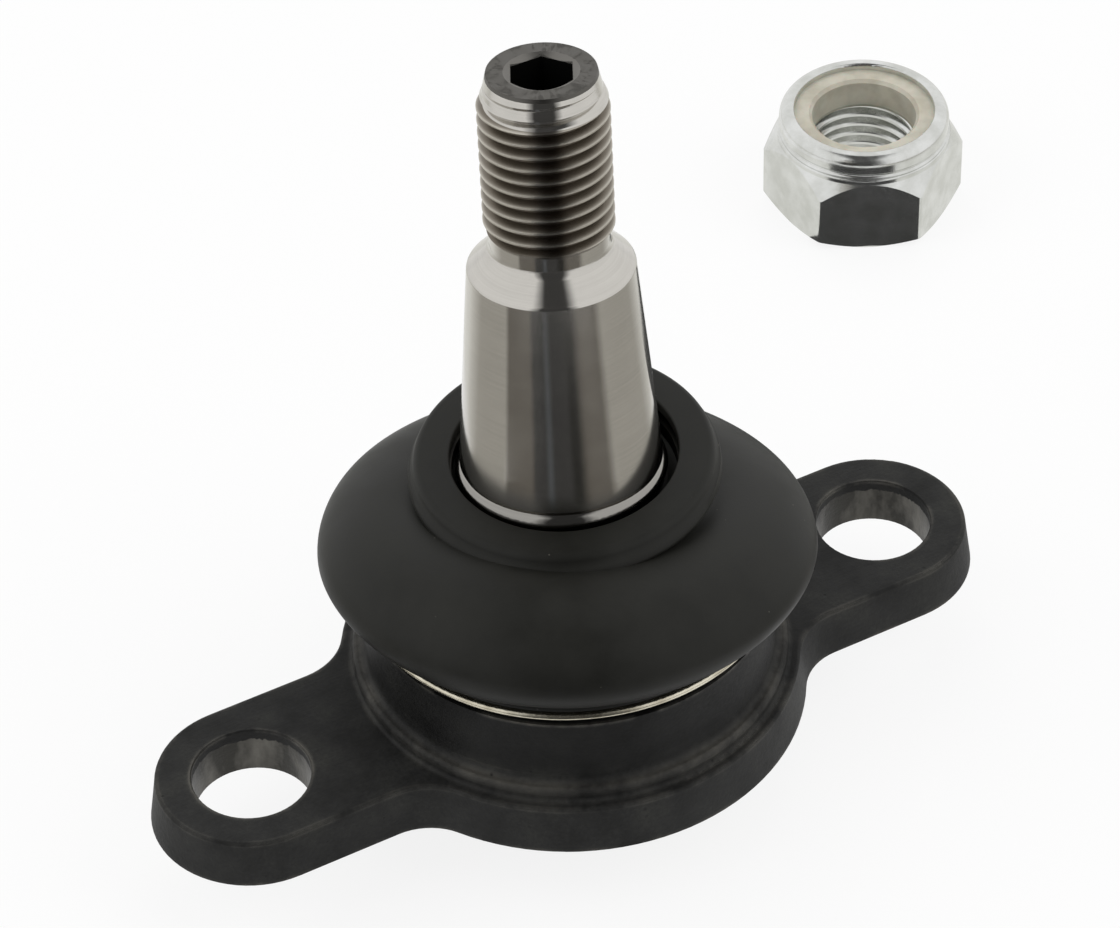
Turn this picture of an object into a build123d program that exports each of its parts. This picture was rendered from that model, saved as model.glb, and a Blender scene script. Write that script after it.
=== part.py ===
from build123d import *
import os
from math import asin, degrees, radians, sqrt, tan

os.makedirs("parts", exist_ok=True)

# Suspension ball joint with a two-bolt flange, a rubber boot and a separate lock nut.
# Millimetres. The origin is the middle of the two-bolt pattern on the flange's mounting face.
# +X runs along the ears, +Z along the hub, towards the stud.

# ---- flange and hub of the forged housing ----
BOLT_SPACING = 79.0          # between the two bolt holes
BOLT_HOLE_R = 6.5            # clearance hole for an M12 bolt
BOLT_HOLE_BREAK = 0.15       # broken edge of the holes
EAR_R = 11.3                 # round end of each ear, at the mounting face
FLANGE_THICKNESS = 6.0
FLANGE_DISC_R = 26.3         # round middle of the flange, at the mounting face
FLANGE_DRAFT = 8.0           # degrees that the flange's side leans in towards its top
WAIST_R = 6.5                # concave blend between ear and disc
FLANGE_TOP_EDGE_R = 0.4
FLANGE_BOTTOM_EDGE = 0.4
STEP_R = 24.1                # low step round the foot of the hub
STEP_HEIGHT = 1.6
STEP_ROOT_R = 0.5            # concave radius outside the step
STEP_EDGE_R = 0.6
HUB_FOOT_R = 0.8             # concave radius between step and hub
HUB_R = 22.7
HUB_TOP = 20.4               # above the mounting face
HUB_RIM_R = 21.3             # rim that keeps the boot's lower lip on the hub
HUB_RIM_EDGE = 0.4
CAN_R = 18.5                 # spigot below the mounting face
CAN_CORNER_R = 0.9
MOUTH_R = 13.3               # opening that the stud swings in
MOUTH_FLARE = 0.8

# ---- ball, races and cover ----
BALL_R = 13.5
BALL_HEIGHT = 10.0           # ball centre above the mounting face
BALL_FLAT = 0.9              # cut off the ball's lower pole
BALL_FIT = 0.05              # running clearance between ball and races
RACE_WALL = 2.2
RACE_FIT = 0.05              # races in the housing bore
RACE_SPLIT_GAP = 0.1         # between upper and lower race
RACE_LIP = 6.5               # how far the upper race reaches past the ball's equator
RACE_FLOOR = 1.9             # wall of the lower race below the ball
RACE_SLOTS = 6
RACE_SLOT_WIDTH = 1.4
RACE_SLOT_DEPTH = 4.0
GREASE_POCKET_R = 4.5
COVER_R = 16.8
COVER_THICKNESS = 1.8
COVER_FIT = 0.05
COVER_DIMPLE_R = 4.0
COVER_DIMPLE_DEPTH = 0.5
ROLLED_LIP_THICKNESS = 1.25  # lip of the spigot that is rolled over the cover
ROLLED_LIP_REACH = 1.9

# ---- stud, measured along its own axis from the ball centre ----
STUD_LEAN_X = 2.48           # degrees towards +X, as the stud is left standing
STUD_LEAN_Y = 7.02           # degrees towards +Y
NECK_R = 7.4
NECK_ROOT_R = 1.2            # fillet between ball and neck
NECK_END = 16.5
NECK_FLARE_R = 1.0           # first, steep part of the bead's lower side
NECK_FLARE_RISE = 0.6
SHOULDER_R = 11.5            # bead above the boot's seal
SHOULDER_START = 18.9
SHOULDER_END = 21.7
SHOULDER_EDGE_R = 1.1
SHOULDER_SLOPE = 0.8
CONE_START = 22.0
CONE_END = 46.35
CONE_TOP_R = 8.95
CONE_EDGE_R = 0.5
TAPER = 1 / 6                # on the diameter
FOOT_GROOVE_DEPTH = 0.6      # between bead and cone
CHAMFER_END = 48.8           # end of the slope above the cone, before its fillet
UNDERCUT_R = 6.4             # neck between cone and thread
UNDERCUT_ROOT_R = 1.25
THREAD_START = 51.0
THREAD_MAJOR_R = 6.93        # M14 x 1.5
THREAD_PITCH = 1.5
THREAD_FLANK_ANGLE = 30.0    # each flank from the square section
THREAD_END = 66.1            # where the end's long chamfer starts
NOSE_START = 67.56           # where it turns steeper
NOSE_R = 6.28
STUD_END = 69.64
STUD_END_R = 5.78
SOCKET_FLATS = 6.4           # hexagon socket, across flats
SOCKET_DEPTH = 7.0
SOCKET_TURN = 2.0            # degrees
SOCKET_LEAD_R = 3.95
SOCKET_LEAD_DEPTH = 2.2      # depth at which the lead-in cone would close

# ---- rubber boot and its rings ----
BOOT_GROOVE_R = 20.6         # groove in the hub, below its rim
BOOT_GROOVE_LOW = 16.1
BOOT_GROOVE_HIGH = 19.7
BOOT_GAP = 0.3               # rubber to metal
BOOT_LIP_R = 22.3
BOOT_HEEL_R = 22.9           # where the bulge leaves the lower lip
BOOT_HEEL_SLOPE = 0.5
BOOT_THROAT_GAP = 0.45       # bulge to the hub's rim, which it leans towards
BOOT_THROAT_RISE = 1.4       # wall of the bulge's floor at its throat
BOOT_BULGE_R = 27.3
BOOT_BULGE_HEIGHT = 21.7     # widest ring above the mounting face
BOOT_CROWN_R = 15.5
BOOT_CROWN_HEIGHT = 27.9
BOOT_WALL = 1.9
BOOT_NECK_R = 15.0
COLLAR_R = 16.5
COLLAR_LOW = 29.4
COLLAR_TOP = 32.0
COLLAR_EDGE_R = 0.5
COLLAR_BORE_R = 12.6
COLLAR_SHIFT_X = 1.4         # the collar follows the leaning stud sideways
COLLAR_SHIFT_Y = 2.8
SEAL_LOW = 23.2              # web that seals on the stud's neck
SEAL_HIGH = 25.0
SEAL_ROOT_R = 14.0
CLAMP_WIRE_R = 0.45          # wire ring round the lower lip
CLAMP_TURNS = 1.6            # its ends overlap
CLAMP_TURN_GAP = 0.05
CLAMP_END_TURN = -46         # the ends overlap at the back
SEAL_RING_LOW = 29.0         # flat steel ring in the collar's bore
SEAL_RING_WIDTH = 1.6
SEAL_RING_WALL = 1.2
SEAL_RING_STAND = 0.35       # how far it stands out of the bore

# ---- lock nut, standing beside the joint ----
NUT_X = 79.3
NUT_Y = 65.7
NUT_TURN = 33.0              # degrees
NUT_FLATS = 22.0
NUT_HEIGHT = 13.8
NUT_HEX_HEIGHT = 10.0
NUT_CORNER_R = 0.6           # worn corners of the hexagon
NUT_TOP_CHAMFER = 55.0       # degrees below the upper face
NUT_BASE_CHAMFER = 30.0
NUT_BASE_FACE_R = 10.8
NUT_RING_R = 10.95           # round face left on top of the hexagon
NUT_RING_HEIGHT = 0.7
NUT_RING_EDGE_R = 0.25
NUT_COLLAR_R = 10.7
NUT_GROOVE_R = 0.45          # groove between the ring and the rolled collar
NUT_GROOVE_DEPTH = 0.3
NUT_CRIMP_R = 8.8            # opening of the crimped rim
NUT_CRIMP_WALL = 0.9
NUT_CRIMP_LIP_R = 0.35
NUT_CRIMP_EDGE_R = 1.4
NUT_BORE_R = 6.19            # minor radius of M14 x 1.5
NUT_CORE_R = 8.4             # solid wall round the thread
NUT_THREAD_PLAY = 0.1        # nut thread over stud thread
NUT_BORE_LEAD = 0.9
INSERT_R = 9.5
INSERT_BORE_R = 6.55
INSERT_HEIGHT = 3.8
INSERT_EDGE = 0.4

MOUNT_FACE = 0.0
CLEAR = 1.0                  # how far a cutting shape runs past the face it opens
BALL_CENTRE = Vector(0, 0, BALL_HEIGHT)
SEAT_R = BALL_R + BALL_FIT + RACE_WALL + RACE_FIT
COVER_HIGH = BALL_HEIGHT - BALL_R - BALL_FIT - RACE_FLOOR
COVER_LOW = COVER_HIGH - COVER_THICKNESS
CAN_BOTTOM = COVER_LOW - ROLLED_LIP_THICKNESS
BOOT_LIP_TOP = BOOT_GROOVE_HIGH - BOOT_GAP
THREAD_DEPTH = THREAD_PITCH / 2 / tan(radians(THREAD_FLANK_ANGLE)) * 17 / 24   # metric external thread
STUD_AXIS = Vector(tan(radians(STUD_LEAN_X)), tan(radians(STUD_LEAN_Y)), 1).normalized()


def turned(points):
    """Solid of revolution about Z from a closed outline of (radius, height) points."""
    outline = Polyline(*[(radius, 0, height) for radius, height in points], close=True)
    return revolve(make_face(outline), Axis.Z)


def disc(radius, low, high):
    """Cylinder about Z between two heights."""
    return Pos(0, 0, low) * Cylinder(radius, high - low, align=(Align.CENTER, Align.CENTER, Align.MIN))


def washer(inner, outer, low, high):
    """Ring of rectangular section about Z."""
    return disc(outer, low, high) - disc(inner, low - CLEAR, high + CLEAR)


def top_edges(shape):
    return shape.faces().sort_by(Axis.Z)[-1].edges()


def bottom_edges(shape):
    return shape.faces().sort_by(Axis.Z)[0].edges()


def on_stud(shape):
    """Move a shape built about Z, with the ball centre at its origin, onto the leaning stud."""
    turn = Vector(0, 0, 1).cross(STUD_AXIS)
    if turn.length > 0:
        shape = shape.rotate(Axis((0, 0, 0), turn), degrees(asin(turn.length)))
    return Pos(BALL_CENTRE) * shape


def ring_edge(shape, radius, height):
    """The circular edge about Z that lies nearest to a radius and height."""
    circles = shape.edges().filter_by(GeomType.CIRCLE)
    return circles.sort_by(lambda edge: abs(edge.radius - radius) + abs(edge.arc_center.Z - height))[0]


def root_ring(radius, floor, root_r):
    """Concave radius between a cylinder about Z and the floor it stands on."""
    outer = radius + root_r
    block = washer(radius - CLEAR, outer, floor - CLEAR, floor + root_r)
    return block - Pos(0, 0, floor + root_r) * Torus(outer, root_r)


def flange_plate():
    """Two-eared plate with drafted sides."""
    outline = Circle(FLANGE_DISC_R) + Rectangle(BOLT_SPACING, 2 * EAR_R)
    for side in (-1, 1):
        outline += Pos(side * BOLT_SPACING / 2, 0) * Circle(EAR_R)
    waist_x = sqrt(FLANGE_DISC_R ** 2 - EAR_R ** 2)
    waists = [v for v in outline.vertices() if abs(abs(v.X) - waist_x) < 0.01]
    plate = extrude(fillet(waists, WAIST_R), FLANGE_THICKNESS, taper=FLANGE_DRAFT)
    plate = fillet(top_edges(plate), FLANGE_TOP_EDGE_R)
    return chamfer(bottom_edges(plate), FLANGE_BOTTOM_EDGE)


def hub_step():
    """Low step round the hub's foot, with a concave radius inside and outside it."""
    top = FLANGE_THICKNESS + STEP_HEIGHT
    step = fillet(top_edges(disc(STEP_R, MOUNT_FACE + CLEAR, top)), STEP_EDGE_R)
    step += root_ring(HUB_R, top, HUB_FOOT_R)
    root = root_ring(STEP_R, FLANGE_THICKNESS, STEP_ROOT_R)
    return step + (root & disc(STEP_R + STEP_ROOT_R, MOUNT_FACE, top - STEP_EDGE_R))


def hub_body():
    """Hub above the flange, the groove and rim for the boot, and the spigot below."""
    spigot = fillet(bottom_edges(disc(CAN_R, CAN_BOTTOM, FLANGE_THICKNESS)), CAN_CORNER_R)
    rim = chamfer(top_edges(disc(HUB_RIM_R, BOOT_GROOVE_LOW, HUB_TOP)), HUB_RIM_EDGE)
    body = disc(HUB_R, MOUNT_FACE, BOOT_GROOVE_LOW) + rim + spigot + hub_step()
    return body - washer(BOOT_GROOVE_R, HUB_R, BOOT_GROOVE_LOW, BOOT_GROOVE_HIGH)


def ball_cavity():
    """Bore for the races, open below for the cover and above for the stud."""
    lip_r = COVER_R + COVER_FIT - ROLLED_LIP_REACH
    space = disc(lip_r, CAN_BOTTOM - CLEAR, COVER_LOW) + disc(COVER_R + COVER_FIT, COVER_LOW, COVER_HIGH)
    space += disc(SEAT_R, COVER_HIGH - CLEAR, BALL_HEIGHT) + Pos(BALL_CENTRE) * Sphere(SEAT_R)
    flare_r = MOUTH_R + MOUTH_FLARE
    space += disc(MOUTH_R, BALL_HEIGHT, HUB_TOP)
    space += turned([(0, HUB_TOP - MOUTH_FLARE), (MOUTH_R, HUB_TOP - MOUTH_FLARE), (flare_r, HUB_TOP),
                     (flare_r, HUB_TOP + CLEAR), (0, HUB_TOP + CLEAR)])
    return space


def bolt_hole():
    """Clearance hole with a broken edge at both faces."""
    rim = BOLT_HOLE_R + BOLT_HOLE_BREAK
    low, high = MOUNT_FACE, FLANGE_THICKNESS
    return turned([(0, low - CLEAR), (rim, low - CLEAR), (rim, low),
                   (BOLT_HOLE_R, low + BOLT_HOLE_BREAK), (BOLT_HOLE_R, high - BOLT_HOLE_BREAK),
                   (rim, high), (rim, high + CLEAR), (0, high + CLEAR)])


def forged_housing():
    """Forged housing: flange, hub, spigot, ball cavity and bolt holes."""
    body = flange_plate() + hub_body() - ball_cavity()
    for side in (-1, 1):
        body -= Pos(side * BOLT_SPACING / 2, 0) * bolt_hole()
    return body


def ball_space():
    """The ball with its running clearance."""
    return Pos(BALL_CENTRE) * Sphere(BALL_R + BALL_FIT)


def upper_race():
    """Slotted upper half of the plastic bearing, snapped over the ball."""
    low, high = BALL_HEIGHT + RACE_SPLIT_GAP / 2, BALL_HEIGHT + RACE_LIP
    race = Pos(BALL_CENTRE) * Sphere(SEAT_R - RACE_FIT) & disc(SEAT_R, low, high)
    race -= ball_space()
    slot = Pos(SEAT_R / 2, 0, high - RACE_SLOT_DEPTH / 2) * Box(SEAT_R, RACE_SLOT_WIDTH, RACE_SLOT_DEPTH)
    for index in range(RACE_SLOTS):
        race -= slot.rotate(Axis.Z, index * 360 / RACE_SLOTS)
    return race


def lower_race():
    """Cup-shaped lower half of the bearing, with a grease pocket below the ball."""
    cup = disc(SEAT_R - RACE_FIT, COVER_HIGH, BALL_HEIGHT - RACE_SPLIT_GAP / 2) - ball_space()
    return cup - disc(GREASE_POCKET_R, COVER_HIGH - CLEAR, BALL_HEIGHT)


def cover_plate():
    """Steel disc under the lower race, held by the rolled lip."""
    return disc(COVER_R, COVER_LOW, COVER_HIGH) - disc(COVER_DIMPLE_R, COVER_LOW - CLEAR,
                                                       COVER_LOW + COVER_DIMPLE_DEPTH)


def neck_root():
    """Concave fillet between the ball and the neck."""
    ring_r = NECK_R + NECK_ROOT_R
    height = sqrt((BALL_R + NECK_ROOT_R) ** 2 - ring_r ** 2)
    foot = height * BALL_R / (BALL_R + NECK_ROOT_R)
    block = disc(ring_r * BALL_R / (BALL_R + NECK_ROOT_R), foot, height)
    return block - Pos(0, 0, height) * Torus(ring_r, NECK_ROOT_R)


def stud_shank():
    """Neck, bead, taper and undercut, up to the thread."""
    foot_r = CONE_TOP_R + (CONE_END - CONE_START) * TAPER / 2
    shank = turned([
        (0, 0), (NECK_R, 0), (NECK_R, NECK_END),
        (NECK_R + NECK_FLARE_R, NECK_END + NECK_FLARE_RISE),
        (SHOULDER_R - SHOULDER_SLOPE, SHOULDER_START - SHOULDER_SLOPE),
        (SHOULDER_R, SHOULDER_START), (SHOULDER_R, SHOULDER_END),
        (foot_r - FOOT_GROOVE_DEPTH, (SHOULDER_END + CONE_START) / 2),
        (foot_r, CONE_START), (CONE_TOP_R, CONE_END), (UNDERCUT_R, CHAMFER_END),
        (UNDERCUT_R, THREAD_START), (0, THREAD_START)])
    shank = fillet(ring_edge(shank, SHOULDER_R, SHOULDER_END), SHOULDER_EDGE_R)
    shank = fillet(ring_edge(shank, CONE_TOP_R, CONE_END), CONE_EDGE_R)
    return fillet(ring_edge(shank, UNDERCUT_R, CHAMFER_END), UNDERCUT_ROOT_R)


def hex_socket():
    """Hexagon socket with a conical lead-in."""
    hexagon = RegularPolygon(SOCKET_FLATS / 2, 6, major_radius=False, rotation=SOCKET_TURN)
    socket = Pos(0, 0, STUD_END - SOCKET_DEPTH) * extrude(hexagon, SOCKET_DEPTH + CLEAR)
    return socket + turned([(0, STUD_END - SOCKET_LEAD_DEPTH), (SOCKET_LEAD_R, STUD_END),
                            (SOCKET_LEAD_R, STUD_END + CLEAR), (0, STUD_END + CLEAR)])


def threaded_rod(major_r, root_r, low, high):
    """Rod with a right-hand metric V-groove down to its root radius."""
    side = tan(radians(THREAD_FLANK_ANGLE))
    depth = major_r - root_r
    crest = THREAD_PITCH / 8
    mouth_half = (THREAD_PITCH - crest) / 2
    over = crest / 2
    section = Polyline((major_r + over, 0, low - mouth_half - over * side),
                       (major_r + over, 0, low + mouth_half + over * side),
                       (root_r, 0, low + mouth_half - depth * side),
                       (root_r, 0, low - mouth_half + depth * side), close=True)
    path = Helix(THREAD_PITCH, high - low, major_r, center=(0, 0, low))
    groove = sweep(make_face(section), path=path, is_frenet=True)
    return disc(major_r, low - THREAD_PITCH, high + THREAD_PITCH) - groove


def threaded_end():
    """M14 x 1.5 thread with a sloped start and a long end chamfer."""
    thread_rise = THREAD_MAJOR_R - UNDERCUT_R
    envelope = turned([(0, THREAD_START), (UNDERCUT_R, THREAD_START),
                       (THREAD_MAJOR_R, THREAD_START + thread_rise), (THREAD_MAJOR_R, THREAD_END),
                       (NOSE_R, NOSE_START), (STUD_END_R, STUD_END), (0, STUD_END)])
    root_r = THREAD_MAJOR_R - THREAD_DEPTH
    return threaded_rod(THREAD_MAJOR_R, root_r, THREAD_START, STUD_END + THREAD_PITCH) & envelope


def ball_stud():
    """Ball, neck, bead, taper, undercut and threaded end in one piece."""
    ball = Sphere(BALL_R) & disc(BALL_R, BALL_FLAT - BALL_R, BALL_R)
    return on_stud(ball + stud_shank() + neck_root() + (threaded_end() - hex_socket()))


def sheared(shape):
    """Lean a shape sideways above the boot's lower lip, as far as the stud pulls its collar."""
    rise = COLLAR_TOP - BOOT_LIP_TOP
    lean_x, lean_y = COLLAR_SHIFT_X / rise, COLLAR_SHIFT_Y / rise
    matrix = Matrix([[1, 0, lean_x, -lean_x * BOOT_LIP_TOP], [0, 1, lean_y, -lean_y * BOOT_LIP_TOP],
                     [0, 0, 1, 0], [0, 0, 0, 1]])
    return Part() + shape.solid().transform_geometry(matrix)


def quarter(centre_r, centre_z, reach, rise, start):
    """Quarter ellipse of the boot's section, by its centre, half axes and first angle."""
    return EllipticalCenterArc((centre_r, centre_z), reach, rise, start, arc_size=90)


def boot_bulge():
    """Rounded wall from the lower lip to the collar, with the seal web, before it leans."""
    high = BOOT_BULGE_HEIGHT
    throat_r = HUB_RIM_R + BOOT_THROAT_GAP
    under = high - BOOT_LIP_TOP
    crown, inner_crown = BOOT_CROWN_HEIGHT - high, BOOT_CROWN_HEIGHT - high - BOOT_WALL
    throat_top = BOOT_LIP_TOP + BOOT_THROAT_RISE
    outer = Curve() + quarter(BOOT_HEEL_R, high, BOOT_BULGE_R - BOOT_HEEL_R, under, 270)
    outer += quarter(BOOT_CROWN_R, high, BOOT_BULGE_R - BOOT_CROWN_R, crown, 0)
    outer += Polyline((BOOT_CROWN_R, BOOT_CROWN_HEIGHT), (BOOT_NECK_R, COLLAR_LOW), (COLLAR_R, COLLAR_LOW),
                      (COLLAR_R, COLLAR_TOP), (COLLAR_BORE_R, COLLAR_TOP), (COLLAR_BORE_R, SEAL_HIGH),
                      (0, SEAL_HIGH), (0, SEAL_LOW), (SEAL_ROOT_R, SEAL_LOW),
                      (BOOT_CROWN_R, high + inner_crown))
    outer += quarter(BOOT_CROWN_R, high, BOOT_BULGE_R - BOOT_WALL - BOOT_CROWN_R, inner_crown, 0)
    outer += Polyline((BOOT_BULGE_R - BOOT_WALL, high), (throat_r, throat_top), (throat_r, BOOT_LIP_TOP),
                      (BOOT_HEEL_R, BOOT_LIP_TOP))
    bulge = revolve(Plane.XZ * make_face(outer), Axis.Z)
    return fillet(top_edges(bulge).sort_by(SortBy.RADIUS)[-1:], COLLAR_EDGE_R)


def boot_lip():
    """Lower lip that sits in the hub's groove."""
    inner, low = BOOT_GROOVE_R + BOOT_GAP, BOOT_GROOVE_LOW + BOOT_GAP
    return turned([(inner, low), (BOOT_LIP_R, low), (BOOT_LIP_R, BOOT_LIP_TOP - BOOT_HEEL_SLOPE),
                   (BOOT_HEEL_R, BOOT_LIP_TOP), (inner, BOOT_LIP_TOP)])


def collar_shift(height):
    """Sideways place of the boot's middle at a height."""
    share = (height - BOOT_LIP_TOP) / (COLLAR_TOP - BOOT_LIP_TOP)
    return Pos(COLLAR_SHIFT_X * share, COLLAR_SHIFT_Y * share, 0)


def seal_ring_band(grow):
    """The seal ring's section as a washer, grown all round by a clearance."""
    inner = COLLAR_BORE_R - SEAL_RING_STAND
    low, high = SEAL_RING_LOW, SEAL_RING_LOW + SEAL_RING_WIDTH
    place = collar_shift((low + high) / 2)
    return place * washer(inner - grow, inner + SEAL_RING_WALL + grow, low - grow, high + grow)


def boot():
    """Rubber boot, pulled to one side by the leaning stud."""
    body = sheared(boot_bulge()) + boot_lip()
    neck = on_stud(disc(NECK_R + BOOT_GAP, 0, CONE_START))
    return body - neck - seal_ring_band(BOOT_GAP)


def seal_ring():
    """Flat steel ring that keeps the collar's bore round."""
    return seal_ring_band(0)


def clamp_ring():
    """Spring wire wound round the boot's lower lip."""
    pitch = 2 * CLAMP_WIRE_R + CLAMP_TURN_GAP
    radius = BOOT_LIP_R + BOOT_GAP + CLAMP_WIRE_R
    low = BOOT_LIP_TOP - BOOT_GAP - CLAMP_WIRE_R - CLAMP_TURNS * pitch
    path = Helix(pitch, CLAMP_TURNS * pitch, radius, center=(0, 0, low))
    section = Plane(origin=path @ 0, z_dir=path % 0) * Circle(CLAMP_WIRE_R)
    return sweep(section, path=path, is_frenet=True).rotate(Axis.Z, CLAMP_END_TURN)


def on_floor(shape):
    """Stand the nut, built from its base upwards, beside the joint."""
    return Pos(NUT_X, NUT_Y, CAN_BOTTOM) * shape.rotate(Axis.Z, NUT_TURN)


def nut_hexagon():
    """Hexagon with worn corners and both faces chamfered to round."""
    reach = NUT_FLATS / sqrt(3) + CLEAR
    outline = RegularPolygon(NUT_FLATS / 2, 6, major_radius=False)
    hexagon = extrude(fillet(outline.vertices(), NUT_CORNER_R), NUT_HEX_HEIGHT)
    base_rise = (reach - NUT_BASE_FACE_R) * tan(radians(NUT_BASE_CHAMFER))
    top_drop = (reach - NUT_RING_R) * tan(radians(NUT_TOP_CHAMFER))
    limit = turned([(0, 0), (NUT_BASE_FACE_R, 0), (reach, base_rise), (reach, NUT_HEX_HEIGHT - top_drop),
                    (NUT_RING_R, NUT_HEX_HEIGHT), (0, NUT_HEX_HEIGHT)])
    return hexagon & limit


def nut_collar():
    """Ring on top of the hexagon, a groove, and the rolled rim over the insert."""
    ring_top = NUT_HEX_HEIGHT + NUT_RING_HEIGHT
    ring = fillet(top_edges(disc(NUT_RING_R, 0, ring_top)), NUT_RING_EDGE_R)
    collar = fillet(top_edges(disc(NUT_COLLAR_R, 0, NUT_HEIGHT)), NUT_CRIMP_EDGE_R)
    collar -= disc(NUT_CRIMP_R, NUT_HEIGHT - NUT_CRIMP_WALL, NUT_HEIGHT + CLEAR)
    collar = fillet(ring_edge(collar, NUT_CRIMP_R, NUT_HEIGHT), NUT_CRIMP_LIP_R)
    groove_r = NUT_COLLAR_R + NUT_GROOVE_R - NUT_GROOVE_DEPTH
    return ring + (collar - Pos(0, 0, ring_top + NUT_GROOVE_R) * Torus(groove_r, NUT_GROOVE_R))


def insert_low():
    """Height of the insert's seat above the nut's base."""
    return NUT_HEIGHT - NUT_CRIMP_WALL - INSERT_HEIGHT


def tapped_core():
    """Threaded middle of the nut, below the insert. The groove's root lies on the bore."""
    top = insert_low()
    rod = threaded_rod(THREAD_MAJOR_R + NUT_THREAD_PLAY, NUT_BORE_R, -THREAD_PITCH, top + THREAD_PITCH)
    lead = turned([(0, -CLEAR), (NUT_BORE_R + NUT_BORE_LEAD + CLEAR, -CLEAR),
                   (NUT_BORE_R - CLEAR, NUT_BORE_LEAD + CLEAR), (0, NUT_BORE_LEAD + CLEAR)])
    return disc(NUT_CORE_R, 0, top) - rod - lead


def lock_nut():
    """Hexagon with the crimped collar that holds the locking insert."""
    body = nut_hexagon() + nut_collar()
    body -= disc(INSERT_R, insert_low(), NUT_HEIGHT - NUT_CRIMP_WALL)
    body -= disc(NUT_CORE_R, -CLEAR, insert_low())
    body += tapped_core()
    return on_floor(body)


def lock_insert():
    """Plastic ring that grips the thread."""
    ring = disc(INSERT_R, insert_low(), NUT_HEIGHT - NUT_CRIMP_WALL)
    bore = disc(INSERT_BORE_R, 0, NUT_HEIGHT)
    ring -= bore
    rim = [e for e in top_edges(ring) if e.radius < (INSERT_R + INSERT_BORE_R) / 2]
    return on_floor(chamfer(rim, INSERT_EDGE))


def main():
    """Build each sub-part and write it to its own file."""
    pieces = {
        "forged_housing": forged_housing(),
        "upper_race": upper_race(),
        "lower_race": lower_race(),
        "cover_plate": cover_plate(),
        "ball_stud": ball_stud(),
        "boot": boot(),
        "clamp_ring": clamp_ring(),
        "seal_ring": seal_ring(),
        "lock_nut": lock_nut(),
        "lock_insert": lock_insert(),
    }
    for name, piece in pieces.items():
        export_step(piece, f"parts/{name}.step")


main()
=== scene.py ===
import logging
import math
from dataclasses import dataclass, field
from enum import Enum
from typing import ClassVar, Sequence

import bpy
from mathutils import Matrix, Vector


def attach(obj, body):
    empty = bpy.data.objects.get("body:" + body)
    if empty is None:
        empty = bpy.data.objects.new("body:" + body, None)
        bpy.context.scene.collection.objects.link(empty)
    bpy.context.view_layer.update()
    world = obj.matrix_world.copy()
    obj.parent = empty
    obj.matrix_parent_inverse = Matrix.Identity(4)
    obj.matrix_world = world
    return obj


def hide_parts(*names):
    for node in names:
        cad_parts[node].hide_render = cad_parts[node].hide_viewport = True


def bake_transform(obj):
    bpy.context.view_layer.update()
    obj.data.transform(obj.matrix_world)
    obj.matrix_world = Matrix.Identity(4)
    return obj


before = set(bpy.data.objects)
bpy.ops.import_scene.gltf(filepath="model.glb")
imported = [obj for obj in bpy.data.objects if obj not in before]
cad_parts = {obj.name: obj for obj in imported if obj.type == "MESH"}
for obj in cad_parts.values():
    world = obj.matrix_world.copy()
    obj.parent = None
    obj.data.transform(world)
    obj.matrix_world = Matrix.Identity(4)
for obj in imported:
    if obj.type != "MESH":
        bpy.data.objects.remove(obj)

log = logging.getLogger("ball_joint")

MM = 0.001                      # metres in a millimetre
FLOOR_Z = -8.5                  # the joint stands on its spigot, the nut on its base
BALL_CENTRE = Vector((0.0, 0.0, 10.0))
STUD_AXIS = Vector((math.tan(math.radians(2.48)), math.tan(math.radians(7.02)), 1.0)).normalized()
BOLT_HOLE_X = 39.5
CAMERA_SIDE = math.radians(-118.2)   # azimuth from the joint towards the camera
PURE_WHITE = "#ffffff"

Socket = bpy.types.NodeSocket
Outline = list[tuple[float, float]]


def linear(hex_code: str) -> tuple[float, float, float, float]:
    """Turn an sRGB hex colour into linear light.

    Args:
        hex_code: Colour such as "#3a3a3a".

    Returns:
        Linear red, green and blue, with alpha 1.
    """
    parts = [int(hex_code[i:i + 2], 16) / 255 for i in (1, 3, 5)]
    red, green, blue = (p / 12.92 if p <= 0.04045 else ((p + 0.055) / 1.055) ** 2.4 for p in parts)
    return red, green, blue, 1.0


def add(tree: bpy.types.NodeTree, kind: str, inputs: dict | None = None,
        stops: Sequence[tuple[float, str]] = (), **settings: object) -> bpy.types.Node:
    """Add a shader node, with its settings, values and links.

    Args:
        tree: Node tree that gets the node.
        kind: Node type without its "ShaderNode" prefix.
        inputs: Input name or index, to a value or to the socket that feeds it.
        stops: Position and hex colour of each stop of a colour ramp.
        settings: Properties of the node itself.

    Returns:
        The new node.
    """
    made = tree.nodes.new("ShaderNode" + kind)
    for name, value in settings.items():
        setattr(made, name, value)
    for key, value in (inputs or {}).items():
        if isinstance(value, Socket):
            tree.links.new(value, made.inputs[key])
        else:
            made.inputs[key].default_value = value
    if stops:
        ramp = made.color_ramp
        while len(ramp.elements) < len(stops):
            ramp.elements.new(1.0)
        for element, (position, colour) in zip(ramp.elements, stops):
            element.position, element.color = position, linear(colour)
    return made


class Slot(Enum):
    """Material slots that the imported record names."""

    FORGING = "forging_black"
    STUD = "ground_steel"
    RACE = "bearing_plastic"
    COVER = "cover_steel"
    RUBBER = "boot_rubber"
    WIRE = "spring_wire"
    RING = "ring_steel"
    ZINC = "zinc_plate"
    NYLON = "insert_plastic"


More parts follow.
